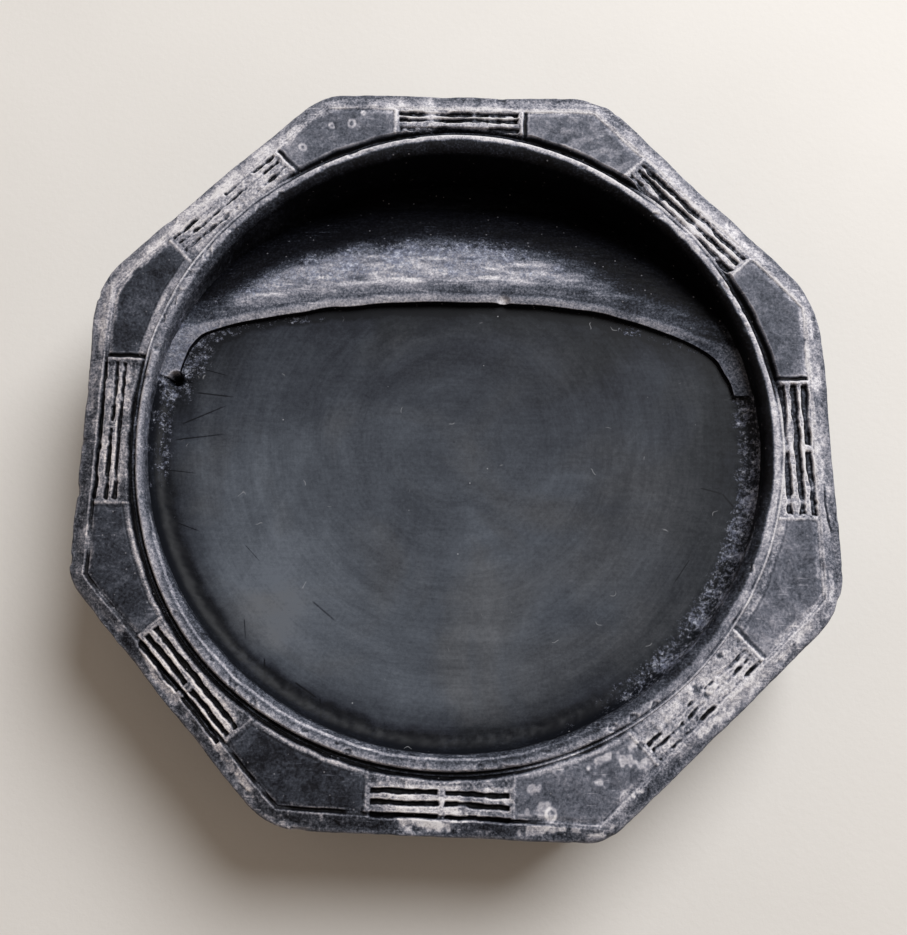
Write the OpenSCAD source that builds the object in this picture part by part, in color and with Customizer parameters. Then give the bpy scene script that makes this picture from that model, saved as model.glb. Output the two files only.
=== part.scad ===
// Octagonal inkstone with the eight trigrams around its rim.
// The real object is cut from one block of dark slate. Its nodes are the zones that the carver worked:
// they meet face to face and never move. The origin is on the table under the middle of the block,
// +Z is up and +Y points at the ink pool.

/* [Block] */
// Nominal distance between opposite sides of the octagon
across_flats = 132; // [118:1:150]
// Height from the table to the top of the rim
height = 26; // [24:1:34]
// Height of the solid slab under the well
slab_h = 9; // [7:0.5:11]
// Width of the bevel around the top edge
top_bevel = 1.6; // [0.5:0.1:2]
// Drop of the bevel around the top edge
top_bevel_drop = 2.2; // [1:0.1:3]
// Width and height of the bevel around the foot
foot_bevel = 1.2; // [0.5:0.1:2]
// Width of the foot left around the hollow underside
foot_w = 14; // [8:1:20]
// Depth of the hollow underside
underside_depth = 1.2; // [0.6:0.1:2]

/* [Rim carving] */
// Width of the plain border outside the carved band
border_w = 3; // [2.6:0.1:3.4]
// Width of the fine grooves that outline border and tablets
groove_w = 0.5; // [0.3:0.05:0.6]
// Depth of the fine grooves
groove_depth = 0.6; // [0.3:0.05:0.9]
// Length of a trigram along its side
trigram_len = 25.4; // [22:0.2:27]
// Largest spacing of a trigram's three sunk lines
line_pitch = 1.85; // [1.6:0.05:1.9]
// Depth of a trigram's sunk lines
line_depth = 0.9; // [0.5:0.05:1.2]
// Uncut bridge in the middle of a broken line
bridge_w = 1.8; // [1.2:0.1:2.6]
// Uncut divider between a trigram and the tablets beside it
divider_w = 0.9; // [0.6:0.1:1.4]
// Width of the bevel on the outer edges of a tablet
tablet_bevel = 0.9; // [0.5:0.1:1.2]

/* [Well] */
// Radius of the round well inside its wall
well_r = 54.5; // [50:0.5:54.5]
// Radius of the crest of the ring around the well
crest_r = 56.1; // [55.8:0.1:56.2]
// Outer radius of the groove around that ring
ring_r = 57.6; // [57.4:0.1:57.8]
// Width of the groove around that ring
ring_groove_w = 0.8; // [0.6:0.1:1]
// Depth of the groove around that ring
ring_groove_depth = 1.5; // [0.8:0.1:2]
// Depth of the grinding bed below the rim at its foot
bed_depth = 5.6; // [5:0.1:6.5]
// Extra depth of the grinding bed at its middle
bed_hollow = 1.1; // [0.5:0.1:1.5]
// Width of the round sweep from the bed up to the wall
bed_sweep_w = 3; // [2:0.2:4]
// Height of that sweep
bed_sweep_h = 2.6; // [1.6:0.1:3]

/* [Lip and pool] */
// Distance of the lip from the middle of the block, on the axis
lip_y = 26.7; // [25:0.1:29]
// Radius of the long arc that the lip follows
lip_arc_r = 150; // [130:5:170]
// Width of the lip's crest
lip_w = 4; // [3:0.5:5]
// Depth of the lip's crest below the rim
lip_depth = 4.6; // [4.2:0.1:4.8]
// Width of the ledge that carries the lip down both walls
ledge_w = 3.2; // [2.4:0.2:3.6]
// How far down the ledges run, measured from the middle of the block
ledge_end_y = 10.4; // [8:0.2:14]
// Slope of the bank where it leaves the lip
bank_start_angle = 10; // [8:1:14]
// Radius of the rounded bank between the lip and the pool
bank_r = 40; // [36:1:42]
// Depth of the pool floor below the rim
pool_depth = 14; // [12:0.5:15]
// Diameter of the small hole at the foot of the left ledge
hole_d = 2.2; // [1.6:0.1:2.6]
// Distance of that hole's middle from the wall
hole_inset = 2.5; // [2:0.1:3]
// Depth of that hole below the bed
hole_depth = 3; // [1:0.5:4]

/* [Hidden] */
$fn = 180;
// How far a cutting solid reaches past the face that it cuts
spare = 1;
// Size of the block that cuts a bevel
cutter = 6;
// The eight sides run anticlockwise from +X. Each was cut by hand, so each is a little off a regular octagon:
// side_turn is its error in direction, side_out its error in distance from the middle.
side_turn = [2.3, 0.1, 0.8, 0.5, 1.2, -1.9, -0.4, -0.7];
side_out = [-0.6, -1.05, 0.5, 0.35, -0.1, 0.45, 0.65, 0.25];
// How much is worn off the corner after each side, measured towards the middle
corner_wear = [1.3, 1, 0.7, 1.3, 0.4, 1.1, 0.6, 1.4];
// The well sits a little off the middle of the block.
well_at = [-0.7, 0.6];
// Trigrams of the Earlier Heaven order, one on each side. Each lists its outer, middle and inner line:
// 1 is a whole line and 0 a broken one.
TRIGRAMS = [
    ["trigram_water_e", [0, 1, 0]],
    ["trigram_wind_ne", [1, 1, 0]],
    ["trigram_heaven_n", [1, 1, 1]],
    ["trigram_lake_nw", [0, 1, 1]],
    ["trigram_fire_w", [1, 0, 1]],
    ["trigram_thunder_sw", [0, 0, 1]],
    ["trigram_earth_s", [0, 0, 0]],
    ["trigram_mountain_se", [1, 0, 0]]
];
TABLETS = [
    "tablet_ene", "tablet_nne", "tablet_nnw", "tablet_wnw",
    "tablet_wsw", "tablet_ssw", "tablet_sse", "tablet_ese"
];

STONE = "#3b4048";
STONE_WORN = "#8c8790";
STONE_DARK = "#23262b";

bed_edge_z = height - bed_depth;
lip_z = height - lip_depth;
pool_z = height - pool_depth;
// Middle of the lip's long arc, due south of the middle of the well
lip_centre_y = lip_y - lip_arc_r;
// Middle of the bank's profile arc, as distance from the lip's arc centre and height
bank_mid = [
    lip_arc_r + lip_w - bank_r * sin(bank_start_angle),
    lip_z - bank_r * cos(bank_start_angle)
];
// Where the bank reaches the pool floor
bank_end_r = bank_mid[0] + sqrt(pow(bank_r, 2) - pow(pool_z - bank_mid[1], 2));
bank_end_angle = asin((bank_end_r - bank_mid[0]) / bank_r);

function side_angle(i) = 45 * i + side_turn[i % 8];
function side_dist(i) = across_flats / 2 + side_out[i];
function normal(i) = [cos(side_angle(i)), sin(side_angle(i))];
function tangent(i) = [-sin(side_angle(i)), cos(side_angle(i))];
function next(i) = (i + 1) % 8;
// Where side i, moved in by an inset, meets the side after it, moved in by the same
function corner(i, inset) =
    let (
        a = normal(i),
        b = normal(next(i)),
        p = side_dist(i) - inset,
        q = side_dist(next(i)) - inset,
        det = a[0] * b[1] - a[1] * b[0]
    )
    [(p * b[1] - q * a[1]) / det, (q * a[0] - p * b[0]) / det];
function outline(inset) = [for (i = [0:7]) corner(i, inset)];
// How far the worn flat at corner i reaches along the sides beside it
function wear_reach(i) = corner_wear[i] / sin((side_angle(i + 1) - side_angle(i)) / 2);
// The two ends of the worn flat at corner i
function worn_corner(i) = [
    corner(i, 0) - wear_reach(i) * tangent(i),
    corner(i, 0) + wear_reach(i) * tangent(next(i))
];
// Middle of side i, on its outer edge
function side_mid(i) = (corner((i + 7) % 8, 0) + corner(i, 0)) / 2;
// Point at u along side i from its middle and v in from its edge
function on_side(i, u, v) = side_mid(i) + u * tangent(i) - v * normal(i);
// Depth in from the edge that takes every rim zone past the groove around the ring
band_reach = 12;
// Room on side i between its edge and the groove around the ring
function band_depth(i) = side_dist(i) - ring_r - well_at * normal(i);
function pitch(i) = min(line_pitch, (band_depth(i) - border_w) / 3);

// Puts its children on side i: +X runs in from the edge, +Y along the side, and z = 0 at the top of the rim
module at_side(i) {
    mid = side_mid(i);
    translate([mid[0], mid[1], height])
        rotate([0, 0, side_angle(i) + 180])
            children();
}

// Cuts the bevel along the top edge of side i
module top_bevel_cut(i) {
    at_side(i)
        translate([0, 0, -top_bevel_drop])
            rotate([0, -atan2(top_bevel_drop, top_bevel), 0])
                translate([-spare, -across_flats / 2, 0])
                    cube([cutter, across_flats, cutter]);
}

// Cuts the bevel along the foot of side i
module foot_bevel_cut(i) {
    at_side(i)
        translate([0, 0, foot_bevel - height])
            rotate([0, 45, 0])
                translate([-spare, -across_flats / 2, -cutter])
                    cube([cutter, across_flats, cutter]);
}

// Cuts the fine groove between the border and the carved band of side i
module border_groove_cut(i) {
    at_side(i)
        translate([border_w - groove_w / 2, -across_flats / 2, -groove_depth])
            cube([groove_w, across_flats, 2 * groove_depth]);
}

// An upright cylinder around the middle of the well, past the bottom and top of the block
module ring_space(radius) {
    translate([well_at[0], well_at[1], -spare])
        cylinder(r = radius, h = height + 2 * spare);
}

// A solid of the rim, from the slab up to the rim and out from the ring groove, over a 2-D outline
module rim_solid(points) {
    difference() {
        translate([0, 0, slab_h])
            linear_extrude(height - slab_h)
                polygon(points);
        ring_space(ring_r);
    }
}

// One trigram: three sunk lines along the middle of side i, each whole or broken
module trigram(i) {
    half = trigram_len / 2;
    lines = TRIGRAMS[i][1];
    color(STONE_WORN)
        difference() {
            rim_solid([
                on_side(i, -half, 0),
                on_side(i, half, 0),
                on_side(i, half, band_reach),
                on_side(i, -half, band_reach)
            ]);
            top_bevel_cut(i);
            border_groove_cut(i);
            for (k = [0:2])
                sunk_line(i, border_w + pitch(i) * (k + 0.5), lines[k] == 1);
        }
}

// One sunk line of a trigram, at an inset from the edge of side i
module sunk_line(i, inset, whole) {
    half = trigram_len / 2 - divider_w;
    width = pitch(i) * 0.6;
    at_side(i)
        translate([inset - width / 2, 0, -line_depth])
            if (whole) {
                translate([0, -half, 0])
                    cube([width, 2 * half, line_depth + spare]);
            } else {
                for (end = [-half, bridge_w / 2])
                    translate([0, end, 0])
                        cube([width, half - bridge_w / 2, line_depth + spare]);
            }
}

// One smooth tablet, around the corner between side i and the next
module tablet(i) {
    j = next(i);
    half = trigram_len / 2;
    color(STONE)
        difference() {
            rim_solid([
                on_side(i, half, 0),
                worn_corner(i)[0],
                worn_corner(i)[1],
                on_side(j, -half, 0),
                on_side(j, -half, band_reach),
                on_side(i, half, band_reach)
            ]);
            for (side = [i, j]) {
                top_bevel_cut(side);
                border_groove_cut(side);
                tablet_bevel_cut(side);
            }
            tablet_edge_cut(i, half);
            tablet_edge_cut(j, -half);
        }
}

// Cuts the bevel on a tablet's outer edge along side i, from half way down the border groove up to the rim
module tablet_bevel_cut(i) {
    start = groove_depth / 2;
    at_side(i)
        translate([border_w + groove_w / 2, -across_flats / 2, -start])
            rotate([0, -atan2(start, tablet_bevel), 0])
                translate([-groove_w / 2, 0, 0])
                    cube([2 * tablet_bevel, across_flats, 2 * tablet_bevel]);
}

// Cuts the fine groove between a tablet and the divider beside it, at u along side i
module tablet_edge_cut(i, u) {
    at_side(i)
        translate([border_w, -u - groove_w / 2, -groove_depth])
            cube([band_reach, groove_w, 2 * groove_depth]);
}

// The block under the well, bevelled around its foot and hollowed underneath
module slab() {
    color(STONE)
        difference() {
            linear_extrude(slab_h)
                polygon([for (i = [0:7]) each worn_corner(i)]);
            for (i = [0:7])
                foot_bevel_cut(i);
            translate([0, 0, -spare])
                linear_extrude(underside_depth + spare)
                    polygon(outline(foot_w));
        }
}

// The wall of the well, with the rounded ring that stands around its mouth and the groove outside the ring
module well_ring() {
    bead_r = crest_r - well_r;
    groove_in_r = ring_r - ring_groove_w;
    groove_z = height - ring_groove_depth;
    // The ring is rounded from where it leaves the groove, over its crest and down to the wall
    round_start = acos((groove_in_r - crest_r) / bead_r);
    color(STONE_WORN)
        translate([well_at[0], well_at[1], 0])
            rotate_extrude()
                polygon(concat(
                    [[well_r, slab_h], [ring_r, slab_h], [ring_r, groove_z], [groove_in_r, groove_z]],
                    [for (k = [0:8])
                        let (a = round_start + (180 - round_start) * k / 8)
                        [crest_r + bead_r * cos(a), height - bead_r + bead_r * sin(a)]]
                ));
}

// An upright cylinder around the middle of the lip's long arc
module lip_disc(radius) {
    translate([well_at[0], lip_centre_y, -2 * spare])
        cylinder(r = radius, h = height + 4 * spare, $fn = 720);
}

// Everything inside the well that stands north of the lip's front, ledges included
module lip_side() {
    difference() {
        ring_space(well_r);
        lip_disc(lip_arc_r);
    }
    intersection() {
        difference() {
            ring_space(well_r);
            ring_space(well_r - ledge_w);
        }
        translate([-across_flats, ledge_end_y, -2 * spare])
            cube([2 * across_flats, across_flats, height + 4 * spare]);
    }
}

// The grinding bed, slightly hollow, with a round sweep up to the wall
module grinding_bed() {
    foot_r = well_r - bed_sweep_w;
    color(STONE_DARK)
        difference() {
            translate([well_at[0], well_at[1], 0])
                rotate_extrude()
                    polygon(concat(
                        [[0, slab_h], [well_r, slab_h]],
                        [for (a = [90:-15:15]) [
                            foot_r + bed_sweep_w * sin(a),
                            bed_edge_z + bed_sweep_h * (1 - cos(a))
                        ]],
                        [for (s = [1:-0.1:0]) [foot_r * s, bed_edge_z - bed_hollow * (1 - s * s)]]
                    ));
            lip_side();
            hole_cut();
        }
}

// Cuts the small hole at the end of the left ledge, down into the bed
module hole_cut() {
    hole_r = well_r - hole_inset;
    off_y = ledge_end_y - well_at[1];
    translate([well_at[0] - sqrt(pow(hole_r, 2) - pow(off_y, 2)), ledge_end_y, bed_edge_z - hole_depth])
        cylinder(d = hole_d, h = height, $fn = 32);
}

// The lip between bed and pool, with a ledge down each wall
module lip() {
    color(STONE)
        difference() {
            intersection() {
                lip_side();
                translate([-across_flats, 0, slab_h])
                    cube([2 * across_flats, across_flats, lip_z - slab_h]);
            }
            difference() {
                ring_space(across_flats);
                lip_disc(lip_arc_r + lip_w);
            }
            hole_cut();
        }
}

// Solid inside the well between two distances from the lip's arc centre, under a profile
module behind_lip(profile) {
    intersection() {
        translate([well_at[0], lip_centre_y, 0])
            rotate_extrude($fn = 720)
                polygon(profile);
        ring_space(well_r);
    }
}

// The rounded bank that falls from the lip into the pool
module pool_bank() {
    color(STONE)
        behind_lip(concat(
            [[bank_end_r, slab_h], [lip_arc_r + lip_w, slab_h]],
            [for (k = [0:8])
                let (a = bank_start_angle + (bank_end_angle - bank_start_angle) * k / 8)
                [bank_mid[0] + bank_r * sin(a), bank_mid[1] + bank_r * cos(a)]]
        ));
}

// The floor of the ink pool
module pool_floor() {
    color(STONE_DARK)
        behind_lip([
            [bank_end_r, slab_h],
            [lip_arc_r + well_r, slab_h],
            [lip_arc_r + well_r, pool_z],
            [bank_end_r, pool_z]
        ]);
}

slab();
well_ring();
grinding_bed();
lip();
pool_bank();
pool_floor();
for (i = [0:7]) {
    trigram(i);
    tablet(i);
}
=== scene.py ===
"""Octagonal slate inkstone: the carved surfaces, materials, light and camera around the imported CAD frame.

Every zone of the stone is a closed mesh whose top is a fine grid. The grids of neighbouring zones share
the points of their common border, so the zones meet without a gap. Lengths are in millimetres until a mesh
is made, with z = 0 at the top of the rim.
"""

import math

import bpy
import numpy as np
from mathutils import Matrix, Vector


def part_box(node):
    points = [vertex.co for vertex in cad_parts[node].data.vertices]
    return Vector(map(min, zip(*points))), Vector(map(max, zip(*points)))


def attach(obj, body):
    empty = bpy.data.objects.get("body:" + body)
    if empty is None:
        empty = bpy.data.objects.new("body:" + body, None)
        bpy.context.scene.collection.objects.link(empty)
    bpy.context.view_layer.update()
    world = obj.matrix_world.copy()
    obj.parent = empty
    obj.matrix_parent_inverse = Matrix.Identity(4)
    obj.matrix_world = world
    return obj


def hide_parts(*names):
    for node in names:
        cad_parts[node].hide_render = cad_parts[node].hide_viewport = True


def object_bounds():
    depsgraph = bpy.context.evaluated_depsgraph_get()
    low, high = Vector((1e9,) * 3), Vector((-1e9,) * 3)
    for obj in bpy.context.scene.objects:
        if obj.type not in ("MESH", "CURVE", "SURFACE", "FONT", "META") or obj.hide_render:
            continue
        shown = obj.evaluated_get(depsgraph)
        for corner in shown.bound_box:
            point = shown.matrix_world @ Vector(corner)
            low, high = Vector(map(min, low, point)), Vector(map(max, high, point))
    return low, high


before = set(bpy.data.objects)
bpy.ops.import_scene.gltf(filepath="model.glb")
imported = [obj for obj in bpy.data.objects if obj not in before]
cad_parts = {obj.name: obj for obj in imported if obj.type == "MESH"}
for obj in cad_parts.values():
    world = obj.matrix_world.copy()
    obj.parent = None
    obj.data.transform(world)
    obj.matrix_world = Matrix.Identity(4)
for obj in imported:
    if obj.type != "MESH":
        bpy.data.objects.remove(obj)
cad_low, cad_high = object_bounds()

MM = 0.001
TAU = 2 * math.pi


# ---------------------------------------------------------------- sizes that come from the CAD frame

def box_mm(node):
    low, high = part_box(node)
    return np.array(low) / MM, np.array(high) / MM


RIM_Z = cad_high.z / MM
_, slab_high = box_mm("slab")
ring_low, ring_high = box_mm("well_ring")
bed_low, bed_high = box_mm("grinding_bed")
lip_low, lip_high = box_mm("lip")
_, pool_high = box_mm("pool_floor")

SEAT = slab_high[2] - RIM_Z  # top of the slab, where every other zone stands
WELL = (ring_low[:2] + ring_high[:2]) / 2
RING_R = (ring_high[0] - ring_low[0]) / 2  # outside of the groove around the ring
WALL_R = (bed_high[0] - bed_low[0]) / 2  # inside of the well's wall
LIP_Z = lip_high[2] - RIM_Z
POOL_Z = pool_high[2] - RIM_Z
LEDGE_END_Y = lip_low[1]

# ---------------------------------------------------------------- sizes of the carving, as in the CAD

# The eight sides run anticlockwise from +X: E, NE, N, NW, W, SW, S, SE.
SIDES = 8
FLAT = 66.0  # nominal distance from the middle to a side
SIDE_TURN = np.radians([2.3, 0.1, 0.8, 0.5, 1.2, -1.9, -0.4, -0.7])
SIDE_OUT = np.array([-0.6, -1.05, 0.5, 0.35, -0.1, 0.45, 0.65, 0.25])
CORNER_WEAR = np.array([1.4, 1.1, 0.8, 1.5, 0.5, 1.1, 0.7, 1.4])
TRIGRAM_NODES = [
    "trigram_water_e", "trigram_wind_ne", "trigram_heaven_n", "trigram_lake_nw",
    "trigram_fire_w", "trigram_thunder_sw", "trigram_earth_s", "trigram_mountain_se",
]
TABLET_NODES = [
    "tablet_ene", "tablet_nne", "tablet_nnw", "tablet_wnw",
    "tablet_wsw", "tablet_ssw", "tablet_sse", "tablet_ese",
]
# Whole (1) and broken (0) lines of each trigram: outer, middle, inner
LINES = np.array([
    [0, 1, 0], [1, 1, 0], [1, 1, 1], [0, 1, 1], [1, 0, 1], [0, 0, 1], [0, 0, 0], [1, 0, 0],
])

# Where the carver put things, side by side, in millimetres in from the edge
LINE_INSET = np.array([
    [4.1, 6.0, 8.1], [4.1, 5.6, 7.5], [3.9, 5.2, 7.0], [3.4, 5.0, 6.8],
    [3.1, 5.1, 6.5], [2.7, 4.5, 6.3], [3.0, 5.0, 6.8], [3.6, 5.2, 6.6],
])
DIVIDER_LEFT = np.array([12.0, 13.2, 12.0, 12.5, 13.5, 11.5, 12.1, 11.1])
DIVIDER_RIGHT = -np.array([12.0, 13.5, 11.2, 12.7, 12.0, 11.0, 11.4, 13.1])
BRIDGE_AT = np.array([0.2, 0.9, 0.0, 0.3, -0.1, 0.8, 0.6, 0.1])
# Inset of the border groove at the corner after each side
BORDER_INSET = np.array([2.95, 3.1, 2.9, 3.2, 2.8, 3.4, 2.6, 3.6])

UNDERSIDE_DEPTH = 1.2
FOOT_BEVEL = 1.2
FOOT_W = 14.0
FOOT_ROUND = 0.6  # half the width of the foot's rounded inner edge
LINE_DEPTH = 0.8
DIVIDER_HALF = 0.45
GROOVE_FLOOR = -1.5
CREST_R = 56.3
RING_EDGE_DROP = 1.3  # from the rim to the outer edge of an open ring groove
# How far the hand-cut ring strays from its circle, at the eight sides
RING_STRAY = [0.3, 0.0, 1.1, 0.1, -1.0, 0.7, 0.4, 0.4]
LIP_ARC_R = 150.0
LIP_Y = 26.7
LIP_W = 4.0
LEDGE_W = 3.2
BED_DEPTH = 5.6
BED_HOLLOW = 1.1
SWEEP_W = 3.0
SWEEP_H = 2.6
BANK_START = math.radians(10)
BANK_R = 40.0
HOLE_R = 1.1
HOLE_INSET = 2.5
HOLE_DEPTH = 2.5
CHIP_X = 7.5

# How the stone has worn, with painted light and shade in some of the lists. Each list runs anticlockwise from
# +X;
# sixteen values stand for the trigrams and tablets in turn (E, ENE, NE, NNE, N ... ESE). Dust runs from 0,
# bare slate, to 1, white; painted shade lowers it and painted highlights raise it.
DUST = [0.72, 0.48, 0.76, 0.5, 0.68, 0.5, 0.74, 0.29, 0.56, 0.31, 0.52, 0.24, 0.58, 0.48, 0.66, 0.49]
# The border outside the carving, and its outer edge
BORDER_DUST = [0.7, 0.7, 0.8, 0.68, 0.56, 0.66, 0.84, 0.66, 0.5, 0.38, 0.34, 0.3, 0.36, 0.46, 0.68, 0.68]
EDGE_DUST = [0.8, 0.76, 0.8, 0.76, 0.76, 0.7, 0.76, 0.7, 0.6, 0.52, 0.46, 0.42, 0.6, 0.62, 0.74, 0.74]
# How far the border groove and the ring groove are open, not filled with dust. Open grooves are painted near
# black, partly ink and partly painted shade.
GROOVE_OPEN = [0.15, 0.15, 0.12, 0.12, 0.15, 0.12, 0.12, 0.15, 0.6, 0.45, 0.9, 0.9, 1, 0.15, 0.12, 0.25]
RING_OPEN = [0.08, 1, 0.2, 1, 0.85, 0.9, 0.25, 0.1, 0.9, 1, 1, 1, 1, 0.45, 0.1, 0.05]
# The pale bar between a tablet and the ring groove
BAR = [0.3, 0, 0, 0, 0, 0, 0.3, 0.8, 0.6, 0.9, 0.8, 0.9, 0.5, 0.5, 0.6, 1]
# How full the sunk lines are, smears on the tablets, dust in the lines and on the ridges between them
LINE_FILL = [0.25, 0.15, 0.3, 0.15, 0.35, 0.5, 0.74, 0.5, 0.4, 0.1, 0, 0, 0.1, 0.4, 0.86, 0.5]
SMEARS = [0.1, 0.15, 0.1, 0.35, 0.1, 0.3, 0.1, 0, 0.05, 0.1, 0.1, 0.15, 0.3, 1, 0.5, 0.15]
LINE_DUST = [0.34, 0.32, 0.36, 0.3, 0.26, 0.28, 0.2, 0.32, 0.16, 0.1, 0.05, 0.04, 0.05, 0.1, 0.14, 0.42]
RIDGE_DUST = [0.2, 0.2, 0.28, 0.24, 0.16, 0.08, 0.03, 0.08, 0.2, 0.24, 0.28, 0.26, 0.28, 0.16, 0.03, 0.03]
# A painted highlight along the border groove on the sides facing the lamp, blotches on the border and a brown
# tint
BORDER_HIGHLIGHT = [0.26, 0.26, 0.32, 0.3, 0.22, 0.16, 0.12, 0.16, 0.04, 0.05, 0, 0, 0, 0.08, 0.1, 0.22]
BLOTCHES = [0.4, 0.3, 0.3, 0.3, 0.3, 0.3, 0.4, 0.4, 0.5, 0.3, 0.8, 0.8, 1.2, 1, 0.6, 0.4]
BROWN = [0, 0, 0, 0, 0, 0, 0.1, 0.25, 0.5, 0.6, 0.5, 0.5, 0.1, 0.05, 0.05, 0]
# The ring's crest and slope, a second pale line below them, the dark foot of the bed's sweep, and the wall.
# The slope and the wall are painted near black on the north and east: partly ink stain, partly painted shade.
CREST_DUST = [0.8, 0.74, 0.8, 0.8, 0.8, 0.72, 0.62, 0.62, 0.62, 0.62, 0.58, 0.55, 0.52, 0.52, 0.52, 0.66]
SLOPE_DUST_AND_SHADE = [-0.05, -0.05, -0.05, -0.02, 0.08, 0.05, 0.18, 0.42, 0.46, 0.4, 0.38, 0.36, 0.36, 0.3, 0.26, 0.2]
SECOND_LINE = [0, 0, 0, 0, 0, 0, 0.05, 0.25, 0.4, 0.45, 0.5, 0.5, 0.48, 0.3, 0.1, 0.1]
FOOT_DARK = [0.2, 0.3, 0.8, 1, 1, 1, 1, 0.8, 0.8, 1, 1, 1, 1, 0.8, 0.45, 0.25]
WALL_DUST_AND_SHADE = [-0.05, -0.1, -0.1, -0.1, -0.1, -0.05, 0.12, 0.36, 0.4, 0.3, 0.22, 0.2, 0.22, 0.22, 0.2, 0.1]
WALL_GRIT = [0.2, 0, 0, 0, 0, 0, 0.4, 0.8, 0.9, 0.5, 0.2, 0.1, 0.1, 0.5, 1, 0.95]
# Pale ring-shaped stains: side, place along it, inset and radius
RING_MARKS = [
    (2, 20.5, 6.3, 0.6), (2, 18.4, 4.0, 0.3), (3, -17.3, 6.0, 0.5),
    (3, -24.3, 6.4, 0.4), (3, -27.0, 9.0, 0.7), (6, 18.4, 4.2, 0.8),
]
# Pits in the worn trigrams: side, place along it, inset and radius
PITS = [
    (7, 0.3, 6.0, 0.4), (7, -0.1, 7.3, 0.5), (7, 6.5, 8.8, 0.4), (7, -13.0, 7.2, 0.5), (1, 6.0, 6.1, 0.4),
]
# Dried ink crust on the outer part of the bed, at the sixteen directions
BED_GRIT = [0.9, 0.5, 0, 0, 0, 0, 0, 1, 0.7, 0.2, 0.1, 0, 0.1, 0.4, 0.9, 1]
# Depth of the cut beside each divider on the tablet's side, for the left and the right divider of each side
CUT_LEFT = np.array([0.9, 0.0, 0.0, 0.0, 0.1, 0.1, 0.0, 0.5])
CUT_RIGHT = np.array([0.0, 0.0, 0.5, 0.6, 1.0, 0.1, 0.0, 0.0])
# Half the width of the sunk lines of each side
LINE_HALF = np.array([0.40, 0.36, 0.32, 0.20, 0.20, 0.28, 0.22, 0.20])


# ---------------------------------------------------------------- numbers and noise

def smooth(start, end, x):
    """0 before start, 1 after end, and a smooth step between; start may be the larger one."""
    t = np.clip((x - start) / (end - start), 0, 1)
    return t * t * (3 - 2 * t)


def bump(x, half, soft):
    """1 within half of zero, falling smoothly to 0 over soft."""
    return 1 - smooth(half, half + soft, np.abs(x))


def mix(a, b, t):
    return a + (b - a) * t


def lattice(ix, iy, iz, seed):
    """A repeatable random number from -1 to 1 at each whole-number point."""
    h = (ix * 374761393 + iy * 668265263 + iz * 1440662683 + seed * 362437) & 0xFFFFFFFF
    h = ((h ^ (h >> 13)) * 1274126177) & 0xFFFFFFFF
    h = ((h ^ (h >> 15)) * 2246822519) & 0xFFFFFFFF
    return ((h >> 8) & 0xFFFF) / 32767.5 - 1


def noise(points, size, seed):
    """Smooth noise from -1 to 1 whose features are about size across."""
    q = points / size
    cell = np.floor(q).astype(np.int64)
    t = q - cell
    t = t * t * t * (t * (6 * t - 15) + 10)
    total = 0
    for step in np.ndindex(2, 2, 2):
        weight = np.prod(np.where(step, t, 1 - t), axis=-1)
        total = total + weight * lattice(*np.moveaxis(cell + step, -1, 0), seed)
    return total


def cloud(points, size, seed, layers=3):
    """Several layers of noise, each half the size and strength of the one before."""
    total = 0
    for k in range(layers):
        total = total + noise(points, size / 2**k, seed + k) / 2**k
    return total


def at_height(x, y, z=0.0):
    return np.stack(np.broadcast_arrays(x, y, z), -1)


def around(values, x, y, margin=0.0):
    """Blends values given at equal steps of direction from the middle of the block, starting at +X. Each
    holds over a margin, a share of the step, on both sides of its own direction."""
    values = np.array(values)
    turn = (np.arctan2(y, x) / TAU * len(values)) % len(values)
    k = np.floor(turn).astype(int)
    return mix(values[k % len(values)], values[(k + 1) % len(values)], smooth(margin, 1 - margin, turn - k))


def reach_of(x, y):
    """Distance from the middle of the well."""
    return np.hypot(x - WELL[0], y - WELL[1])


def polar(angle, r):
    """x and y of a point at a direction and distance from the middle of the well."""
    return WELL[0] + r * np.cos(angle), WELL[1] + r * np.sin(angle)


def turning_point(low, high, past):
    """Where past turns from false to true between low and high, found by halving."""
    for _ in range(40):
        middle = (low + high) / 2
        hit = past(middle)
        low = np.where(hit, low, middle)
        high = np.where(hit, middle, high)
    return (low + high) / 2


# ---------------------------------------------------------------- the octagon

SIDE_ANGLE = np.arange(SIDES) * TAU / SIDES + SIDE_TURN
SIDE_DIST = FLAT + SIDE_OUT
OUTWARD = np.stack([np.cos(SIDE_ANGLE), np.sin(SIDE_ANGLE)], -1)
ALONG = np.stack([-OUTWARD[:, 1], OUTWARD[:, 0]], -1)


def corner(i):
    """Where side i meets the next."""
    pair = [i, (i + 1) % SIDES]
    return np.linalg.solve(OUTWARD[pair], SIDE_DIST[pair])


CORNERS = np.array([corner(i) for i in range(SIDES)])
MIDDLES = (CORNERS + np.roll(CORNERS, 1, axis=0)) / 2
HALF_LENGTH = np.linalg.norm(CORNERS - np.roll(CORNERS, 1, axis=0), axis=1) / 2
HALF_TURN = ((np.roll(SIDE_ANGLE, -1) - SIDE_ANGLE) % TAU) / 2


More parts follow.
